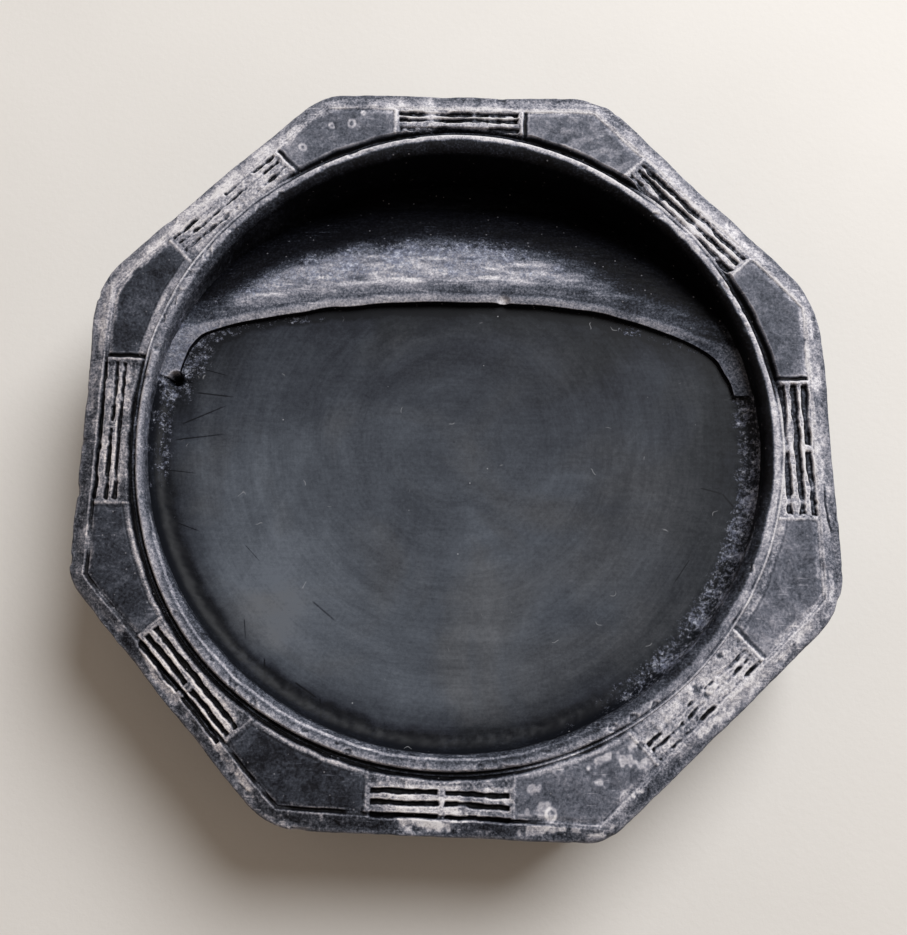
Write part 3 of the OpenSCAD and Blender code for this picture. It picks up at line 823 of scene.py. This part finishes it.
def solid_mesh(name, zone, wrap=False, centre=False):
    """A closed mesh with the zone's grid on top and a flat bottom on the slab. wrap joins the last column to
    the first, and centre closes the first row with one point."""
    points = zone["points"]
    rows, cols = points.shape[:2]
    index = np.arange(rows * cols).reshape(rows, cols)
    vertices = [points.reshape(-1, 3)]
    here, right = (index, np.roll(index, -1, axis=1)) if wrap else (index[:, :-1], index[:, 1:])
    quads = np.stack([here[:-1], right[:-1], right[1:], here[1:]], -1).reshape(-1, 4)
    faces = quads.tolist()
    top_count = len(faces)
    if wrap and not centre:  # a ring: the bottom joins its first and last rows
        faces += np.stack([index[-1], right[-1], right[0], index[0]], -1).tolist()
    else:
        if centre:
            middle = rows * cols
            vertices.append(points[:1].mean(axis=1))
            faces = [[middle, int(b), int(a)] for a, b in zip(index[0], right[0])] + faces
            top_count += cols
            loop = index[-1, ::-1]
        else:
            loop = np.concatenate([index[0, :-1], index[:-1, -1], index[-1, :0:-1], index[:0:-1, 0]])
        ring = points.reshape(-1, 3)[loop]
        raised = ring[:, 2] > SEAT + 1e-6
        start = sum(len(v) for v in vertices)
        below = np.where(raised, start + np.cumsum(raised) - 1, loop)
        dropped = ring[raised]
        dropped[:, 2] = SEAT
        vertices.append(dropped)
        for k in range(len(loop)):
            n = (k + 1) % len(loop)
            face = [int(v) for v in dict.fromkeys([loop[k], below[k], below[n], loop[n]])]
            if len(face) > 2:
                faces.append(face)
        faces.append(below[::-1].tolist())
    return dressed_mesh(name, np.concatenate(vertices), faces, top_count, zone)


def dressed_mesh(name, vertices, faces, top_count, zone):
    """A mesh whose first vertices are the zone's grid and whose first top_count faces are shaded smooth. It
    carries the zone's looks for the materials."""
    mesh = bpy.data.meshes.new(name)
    mesh.from_pydata(((vertices + [0, 0, RIM_Z]) * MM).tolist(), [], faces)
    mesh.update()
    smooth_faces = np.zeros(len(mesh.polygons), bool)
    smooth_faces[:top_count] = True
    mesh.polygons.foreach_set("use_smooth", smooth_faces)
    grid_points = zone["dust_and_painted_light"].size
    for key in LOOKS:
        values = np.full(len(vertices), 0.3 if key == "dust_and_painted_light" else 0.0, np.float32)
        values[:grid_points] = zone[key].reshape(-1)
        layer = mesh.attributes.new(key, "FLOAT", "POINT")
        layer.data.foreach_set("value", values)
    keep_normals(mesh, zone["normals"].reshape(-1, 3), top_count, grid_points)
    return mesh


def keep_normals(mesh, normals, top_count, top_points):
    """Gives the top faces the grid's own normals, so that shading runs on from one zone to the next."""
    corner_vertex = np.zeros(len(mesh.loops), np.int64)
    mesh.loops.foreach_get("vertex_index", corner_vertex)
    totals = np.zeros(len(mesh.polygons), np.int64)
    mesh.polygons.foreach_get("loop_total", totals)
    face_normals = np.zeros(len(mesh.polygons) * 3)
    mesh.polygons.foreach_get("normal", face_normals)
    face_of_corner = np.repeat(np.arange(len(totals)), totals)
    chosen = face_normals.reshape(-1, 3)[face_of_corner]
    on_top = (face_of_corner < top_count) & (corner_vertex < top_points)
    chosen[on_top] = normals[corner_vertex[on_top]]
    mesh.normals_split_custom_set(chosen)


def add_piece(mesh, node, material):
    """Puts a mesh in the scene as the piece that stands for a node of the frame."""
    piece = bpy.data.objects.new(mesh.name, mesh)
    bpy.context.scene.collection.objects.link(piece)
    mesh.materials.append(material)
    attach(piece, "root")
    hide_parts(node)
    return piece


# ---------------------------------------------------------------- materials

def add_node(tree, kind, links=None, **settings):
    """A shader node of a kind, with its settings and inputs: a socket is linked, the rest are values."""
    made = tree.nodes.new("ShaderNode" + kind)
    for key, value in settings.items():
        setattr(made, key, value)
    for key, value in (links or {}).items():
        socket = made.inputs[key]
        if isinstance(value, bpy.types.NodeSocket):
            tree.links.new(value, socket)
        else:
            socket.default_value = value
    return made


def math_node(tree, operation, a, b=0.0, c=0.0):
    return add_node(tree, "Math", {0: a, 1: b, 2: c}, operation=operation).outputs[0]


def ramp(tree, value, stops):
    made = add_node(tree, "ValToRGB", {"Fac": value})
    line = made.color_ramp
    while len(line.elements) < len(stops):
        line.elements.new(0.5)
    for element, (position, colour) in zip(line.elements, stops):
        element.position = position
        element.color = (*colour, 1) if hasattr(colour, "__len__") else (colour, colour, colour, 1)
    return made.outputs["Color"]


def noise_node(tree, vector, scale, detail=3.0, roughness=0.6, distortion=0.0):
    links = {"Vector": vector, "Scale": scale, "Detail": detail, "Roughness": roughness}
    links["Distortion"] = distortion
    return add_node(tree, "TexNoise", links).outputs["Fac"]


def attribute(tree, name):
    return add_node(tree, "Attribute", attribute_name=name).outputs["Fac"]


def new_material(name):
    """A material without a shader yet, its node tree, and the place on the stone in millimetres."""
    material = bpy.data.materials.new(name)
    material.use_nodes = True
    tree = material.node_tree
    tree.nodes.clear()
    place = add_node(tree, "TexCoord").outputs["Object"]
    in_mm = add_node(tree, "VectorMath", {0: place, "Scale": 1 / MM}, operation="SCALE")
    return material, tree, in_mm.outputs[0]


def finished(material, colour, roughness, specular, height, strength, distance):
    """The material with its shader, whose bumps are as strong and as high (in metres) as given."""
    tree = material.node_tree
    bumped = add_node(tree, "Bump", {"Strength": strength, "Distance": distance, "Height": height})
    links = {"Base Color": colour, "Roughness": roughness, "Normal": bumped.outputs[0]}
    links["Specular IOR Level"] = specular
    shader = add_node(tree, "BsdfPrincipled", links)
    add_node(tree, "OutputMaterial", {"Surface": shader.outputs[0]})
    return material


# Colour of the stone from bare slate to thick dust
DUST_STOPS = [
    (0.0, (0.002, 0.002, 0.003)),
    (0.20, (0.010, 0.011, 0.016)),
    (0.38, (0.046, 0.053, 0.071)),
    (0.55, (0.146, 0.156, 0.194)),
    (0.72, (0.335, 0.335, 0.388)),
    (0.88, (0.600, 0.590, 0.635)),
    (1.0, (0.80, 0.79, 0.82)),
]


def centred_noise(tree, vector, scale, gain, detail=3.0, roughness=0.6, distortion=0.0):
    level = math_node(tree, "SUBTRACT", noise_node(tree, vector, scale, detail, roughness, distortion), 0.5)
    return math_node(tree, "MULTIPLY", level, gain)


def mix_colours(tree, share, a, b, blend="MIX"):
    links = {0: share, 6: a, 7: b}
    return add_node(tree, "Mix", links, data_type="RGBA", blend_type=blend).outputs[2]


def dots(tree, mm, scale, stops):
    """Scattered round spots, one to a cell, by distance from the middle of each."""
    distance = add_node(tree, "TexVoronoi", {"Vector": mm, "Scale": scale}).outputs["Distance"]
    return ramp(tree, distance, stops)


def residue(tree, mm):
    """Share of dried bluish ink crust: grains that crowd together where the mesh says there is grit."""
    grains = noise_node(tree, mm, 1.5, 5, 0.85)
    patches = noise_node(tree, mm, 0.28, 3, 0.6)
    level = math_node(tree, "MULTIPLY_ADD", attribute(tree, "grit"), 0.34, grains)
    level = math_node(tree, "MULTIPLY_ADD", math_node(tree, "SUBTRACT", patches, 0.5), 0.5, level)
    return ramp(tree, level, [(0.79, 0.0), (0.93, 0.95)])


def crusted(tree, mm, colour):
    """The colour with dried ink crust over it, and the share of crust."""
    crust = residue(tree, mm)
    tint_stops = [(0.35, (0.07, 0.08, 0.12)), (0.50, (0.21, 0.23, 0.31)), (0.66, (0.62, 0.65, 0.76))]
    tint = ramp(tree, noise_node(tree, mm, 1.1, 4, 0.8), tint_stops)
    return mix_colours(tree, crust, colour, tint), crust


def scuffs(tree, mm, degrees):
    """Patches of fine parallel scratches that run at an angle to +X."""
    links = {"Vector": mm, "Rotation": (0, 0, math.radians(-degrees)), "Scale": (0.16, 2.6, 0.5)}
    turned = add_node(tree, "Mapping", links)
    lines = ramp(tree, noise_node(tree, turned.outputs[0], 1.0, 3, 0.7), [(0.60, 0.0), (0.70, 1.0)])
    patches = ramp(tree, noise_node(tree, mm, 0.13 + degrees * 1e-4, 2, 0.5), [(0.50, 0.0), (0.60, 1.0)])
    return math_node(tree, "MULTIPLY", lines, patches)


def scratch(tree, mm, start, end, width):
    """1 along a straight scratch between two points, 0 elsewhere."""
    length = math.dist(start, end)
    along = ((end[0] - start[0]) / length, (end[1] - start[1]) / length, 0)
    across = (-along[1], along[0], 0)
    away = add_node(tree, "VectorMath", {0: mm, 1: (*start, 0)}, operation="SUBTRACT").outputs[0]
    parts = []
    for direction in (along, across):
        dot = add_node(tree, "VectorMath", {0: away, 1: direction}, operation="DOT_PRODUCT")
        parts.append(dot.outputs["Value"])
    share = math_node(tree, "DIVIDE", parts[0], length)
    on_length = ramp(tree, share, [(0.0, 0.0), (0.1, 1.0), (0.8, 0.8), (1.0, 0.0)])
    on_width = ramp(tree, math_node(tree, "ABSOLUTE", parts[1]), [(0.3 * width, 1.0), (1.3 * width, 0.0)])
    return math_node(tree, "MULTIPLY", on_length, on_width)


def stone_material(name, ridge_light_gain=1.2, speckle=1.0, specular=0.12):
    """Dark slate under pale dust. Dust lies where the mesh says. Ridges are painted lighter, partly wear and
    partly painted highlight, and grooves darker, as painted shade.
    """
    material, tree, mm = new_material(name)
    rough = attribute(tree, "rough")
    # Ridges are painted lighter, partly wear and partly painted highlight; grooves are painted darker, as
    # painted shade.
    raised = math_node(tree, "MULTIPLY", attribute(tree, "ridge"), ridge_light_gain)
    raised = math_node(tree, "MAXIMUM", math_node(tree, "MINIMUM", raised, 0.22), -0.4)
    level = math_node(tree, "ADD", attribute(tree, "dust_and_painted_light"), raised)
    fine = noise_node(tree, mm, 2.4, 5, 0.85)
    speckles = math_node(tree, "MULTIPLY", math_node(tree, "SUBTRACT", fine, 0.5), 1.3 * speckle)
    level = math_node(tree, "MULTIPLY_ADD", speckles, rough, level)
    level = math_node(tree, "MULTIPLY_ADD", centred_noise(tree, mm, 0.6, 0.38, 5, 0.75), rough, level)
    level = math_node(tree, "ADD", level, centred_noise(tree, mm, 0.09, 0.14))
    for degrees in (25, 140):
        level = math_node(tree, "MULTIPLY_ADD", scuffs(tree, mm, degrees), 0.24, level)
    colour = ramp(tree, level, DUST_STOPS)
    brown = math_node(tree, "MULTIPLY", attribute(tree, "brown"), 0.6)
    colour = mix_colours(tree, brown, colour, (1.0, 0.86, 0.70, 1), "MULTIPLY")
    specks = dots(tree, mm, 0.55, [(0.05, 0.35), (0.10, 0.0)])
    colour = mix_colours(tree, specks, colour, (0.45, 0.45, 0.50, 1))
    colour, crust = crusted(tree, mm, colour)
    roughness = ramp(tree, level, [(0.1, 0.5), (0.4, 0.6), (0.6, 0.9)])
    height = math_node(tree, "MULTIPLY_ADD", crust, 0.8, math_node(tree, "MULTIPLY", fine, rough))
    return finished(material, colour, roughness, specular, height, 0.6, 0.00015)


# Scratches of the bed: where they start and end, and half their width
BED_SCRATCHES = [
    ((-48, 8), (-41, 7.5), 0.14), ((-50, 2), (-42, 6), 0.14),
    ((-51, -1), (-42, 0.5), 0.14), ((-47, 12.5), (-42.5, 11.5), 0.1),
    ((-53.5, -6.5), (-46.5, -7), 0.1), ((-49.5, -16), (-45, -17.5), 0.1),
    ((-48.5, -24.5), (-45.5, -25.5), 0.1), ((-37, -19.5), (-34, -22.5), 0.08),
    ((-36, -32.5), (-35.5, -36), 0.1), ((-32, -39), (-31.5, -43.5), 0.14),
    ((-26.5, -43), (-22.5, -45.5), 0.14), ((-22, -45.5), (-21.5, -49), 0.12),
    ((-20.5, -46.5), (-16, -50.5), 0.12), ((-15, -48.5), (-15.5, -50.5), 0.1),
    ((-24.5, -29), (-20, -32.5), 0.16), ((43.5, -6.5), (47.5, -7.5), 0.12),
    ((47.5, -7.5), (49.5, -10), 0.14), ((41.5, -19.5), (38.5, -24), 0.08),
]


def bed_material(name):
    """Slate ground smooth by years of use: cloudy blue-grey and olive, with faint rings and bits of lint."""
    material, tree, mm = new_material(name)
    middle = (WELL[0], WELL[1], 0)
    centred = add_node(tree, "VectorMath", {0: mm, 1: middle}, operation="SUBTRACT").outputs[0]
    reach = add_node(tree, "VectorMath", {0: centred}, operation="LENGTH").outputs["Value"]
    outward = add_node(tree, "VectorMath", {0: centred}, operation="NORMALIZE").outputs[0]
    bearing = add_node(tree, "SeparateXYZ", {0: outward})

    def ringed(along, across):
        """Coordinates that change quickly along a radius and slowly around the middle."""
        links = {0: math_node(tree, "MULTIPLY", reach, along)}
        for k in (0, 1):
            links[k + 1] = math_node(tree, "MULTIPLY", bearing.outputs[k], across)
        return add_node(tree, "CombineXYZ", links).outputs[0]

    brushed = add_node(tree, "Mapping", {"Vector": mm, "Scale": (0.10, 1.6, 1.0)}).outputs[0]
    level = attribute(tree, "dust_and_painted_light")
    for vector, *numbers in (
        (ringed(0.30, 1.6), 1.0, 0.42, 5, 0.6, 0.5),
        (ringed(2.2, 5.0), 1.0, 0.24, 3, 0.7),
        (mm, 0.05, 0.80, 5, 0.65, 0.8),
        (brushed, 1.0, 0.22, 4, 0.7),
        (mm, 1.5, 0.70, 5, 0.85),
    ):
        level = math_node(tree, "ADD", level, centred_noise(tree, vector, *numbers))
    for start, end, width in BED_SCRATCHES:
        level = math_node(tree, "MULTIPLY_ADD", scratch(tree, mm, start, end, width), -0.5, level)
    cool_stops = [
        (0.0, (0.004, 0.005, 0.008)), (0.25, (0.017, 0.020, 0.029)), (0.5, (0.040, 0.047, 0.061)),
        (0.75, (0.073, 0.085, 0.106)), (1.0, (0.116, 0.133, 0.162)),
    ]
    warm_stops = [
        (0.0, (0.004, 0.005, 0.008)), (0.25, (0.018, 0.021, 0.027)), (0.5, (0.044, 0.048, 0.057)),
        (0.75, (0.080, 0.087, 0.100)), (1.0, (0.124, 0.133, 0.150)),
    ]
    olive = ramp(tree, noise_node(tree, mm, 0.035, 4, 0.5, 1.0), [(0.45, 0.0), (0.62, 1.0)])
    colour = mix_colours(tree, olive, ramp(tree, level, cool_stops), ramp(tree, level, warm_stops))
    curls = math_node(tree, "ABSOLUTE", centred_noise(tree, mm, 0.35, 1.0, 1, 0.5))
    curls = ramp(tree, curls, [(0.008, 0.38), (0.02, 0.0)])
    lint = math_node(tree, "MULTIPLY", dots(tree, mm, 0.16, [(0.09, 1.0), (0.13, 0.0)]), curls)
    colour = mix_colours(tree, lint, colour, (0.40, 0.41, 0.44, 1))
    patches = ramp(tree, noise_node(tree, mm, 0.16, 2, 0.5), [(0.53, 0.0), (0.57, 1.0)])
    specks = math_node(tree, "MULTIPLY", dots(tree, mm, 0.30, [(0.030, 0.5), (0.050, 0.0)]), patches)
    colour = mix_colours(tree, specks, colour, (0.45, 0.46, 0.50, 1))
    colour, crust = crusted(tree, mm, colour)
    roughness = ramp(tree, level, [(0.3, 0.50), (0.7, 0.60)])
    return finished(material, colour, roughness, 0.15, crust, 0.5, 0.00012)


CARVED = stone_material("slate_carved")
SLATE = stone_material("slate", ridge_light_gain=0.7, speckle=1.3, specular=0.06)
POLISHED = bed_material("slate_polished")
INKED_AND_SHADED = stone_material("slate_pool", speckle=0.1, specular=0.03)


# ---------------------------------------------------------------- the slab under the well

def slab_mesh(name):
    """The lower part of the block: its outer wall, the bevelled foot and the shallow hollow underneath."""
    order = []
    for i in range(SIDES):
        order += [trigram_columns(i, 0), tablet_columns(i, 0)]
    keys = ("side", "base", "share", "end")
    columns = Columns(*(np.concatenate([getattr(c, key)[:-1] for c in order]) for key in keys))

    foot = -RIM_Z
    foot_end = FOOT_W - FOOT_ROUND
    turns = np.arange(1, 5) / 4 * TAU / 4
    rows = [(0.0, mix(SEAT, foot + FOOT_BEVEL, k / 8)) for k in range(9)]
    rows += [(FOOT_BEVEL * (1 - math.cos(turn)), foot + FOOT_BEVEL * (1 - math.sin(turn))) for turn in turns]
    rows += [(inset, foot) for inset in (4.0, 8.0, foot_end)]
    for turn in turns:
        hollow = UNDERSIDE_DEPTH * (1 - math.cos(turn))
        rows.append((foot_end + 2 * FOOT_ROUND * math.sin(turn), foot + hollow))
    inset, z = (np.array(part)[:, None] + 0 * columns.base for part in zip(*rows))
    wide = columns.widened(inset.shape)
    _, x, y = wide.place(wide.worn(inset))
    rough = at_height(x, y, z)
    inset = inset + wall_dents(rough) * (inset < FOOT_BEVEL)
    _, x, y = wide.place(wide.worn(inset))
    points = at_height(x, y, z)
    count = points.shape[1]
    index = np.arange(points.shape[0] * count).reshape(-1, count)
    right = np.roll(index, -1, axis=1)
    quads = np.stack([index[:-1], index[1:], right[1:], right[:-1]], -1).reshape(-1, 4)
    faces = quads.tolist() + [index[0].tolist(), index[-1][::-1].tolist()]
    zone = measured(plain_looks(points, wall_dust(points), rough=1.0), wrap=True)
    zone["normals"] = -zone["normals"]
    return dressed_mesh(name, points.reshape(-1, 3), faces, len(quads), zone)


# ---------------------------------------------------------------- build

add_piece(slab_mesh("slab_block"), "slab", CARVED)
for i in range(SIDES):
    for node, columns, slot in (
        (TRIGRAM_NODES[i], trigram_columns(i), "slate_carved"),
        (TABLET_NODES[i], tablet_columns(i), "slate"),
    ):
        zone = measured(rim_zone(columns), spare=SPARE)
        add_piece(solid_mesh(node + "_carved", zone), node, CARVED)

ring_mesh = solid_mesh("well_ring_carved", measured(ring_zone(), wrap=True), wrap=True)
add_piece(ring_mesh, "well_ring", CARVED)
bed_mesh = solid_mesh("grinding_bed_ground", measured(bed_zone(), wrap=True), wrap=True, centre=True)
add_piece(bed_mesh, "grinding_bed", POLISHED)
for node, zone, material, slot in (
    ("lip", lip_zone(), SLATE, "slate"),
    ("pool_bank", bank_zone(), SLATE, "slate"),
    ("pool_floor", pool_zone(), INKED_AND_SHADED, "slate_pool"),
):
    add_piece(solid_mesh(node + "_carved", measured(zone)), node, material)


# ---------------------------------------------------------------- floor, light and camera

def floor():
    material, tree, mm = new_material("paper")
    soft = noise_node(tree, mm, 0.02, 3, 0.5)
    grain = noise_node(tree, mm, 0.7, 4, 0.7)
    level = math_node(tree, "MULTIPLY_ADD", grain, 0.25, math_node(tree, "MULTIPLY", soft, 0.75))
    colour = ramp(tree, level, [(0.3, (0.77, 0.75, 0.72)), (0.7, (0.81, 0.79, 0.76))])
    finished(material, colour, 0.95, 0.1, grain, 0.25, 0.0002)
    size = 1.5
    mesh = bpy.data.meshes.new("floor")
    corners = [(-size, -size, 0), (size, -size, 0), (size, size, 0), (-size, size, 0)]
    mesh.from_pydata(corners, [], [(0, 1, 2, 3)])
    mesh.materials.append(material)
    made = bpy.data.objects.new("floor", mesh)
    bpy.context.scene.collection.objects.link(made)


def aim(thing, place, target, up):
    """Puts a camera or lamp at place, looking at target, with up as near as it can be to the top."""
    back = np.array(place, float) - np.array(target, float)
    back /= np.linalg.norm(back)
    side = np.cross(up, back)
    side /= np.linalg.norm(side)
    top = np.cross(back, side)
    turn = Matrix([[side[k], top[k], back[k]] for k in range(3)]).to_4x4()
    thing.matrix_world = Matrix.Translation(place) @ turn


def light():
    """One soft lamp from the north-east, and a dim warm room."""
    lamp = bpy.data.lights.new("key", "AREA")
    lamp.shape = "DISK"
    lamp.size = 0.60
    lamp.energy = 9.0
    lamp.color = (0.97, 0.985, 1.0)
    thing = bpy.data.objects.new("key", lamp)
    bpy.context.scene.collection.objects.link(thing)
    away, elevation, heading = 0.9, math.radians(48), math.radians(54)
    place = (
        away * math.cos(elevation) * math.cos(heading),
        away * math.cos(elevation) * math.sin(heading),
        away * math.sin(elevation),
    )
    aim(thing, place, (0, 0, RIM_Z * MM), (0, 0, 1))
    world = bpy.data.worlds.new("room")
    world.use_nodes = True
    world.node_tree.nodes["Background"].inputs["Color"].default_value = (1.0, 0.82, 0.67, 1)
    world.node_tree.nodes["Background"].inputs["Strength"].default_value = 0.24
    bpy.context.scene.world = world
    bpy.context.scene.view_settings.view_transform = "Standard"


def camera():
    """Above the stone and a little south of its middle, as the stone was seen."""
    data = bpy.data.cameras.new("camera")
    data.lens = 40
    data.sensor_width = 36
    data.clip_start = 0.01
    thing = bpy.data.objects.new("camera", data)
    bpy.context.scene.collection.objects.link(thing)
    aim(thing, (0.00081, -0.04536, 0.2021), (-0.00057, -0.00563, 0.026), (-0.035, 0.999, 0))
    bpy.context.scene.camera = thing


floor()
light()
camera()
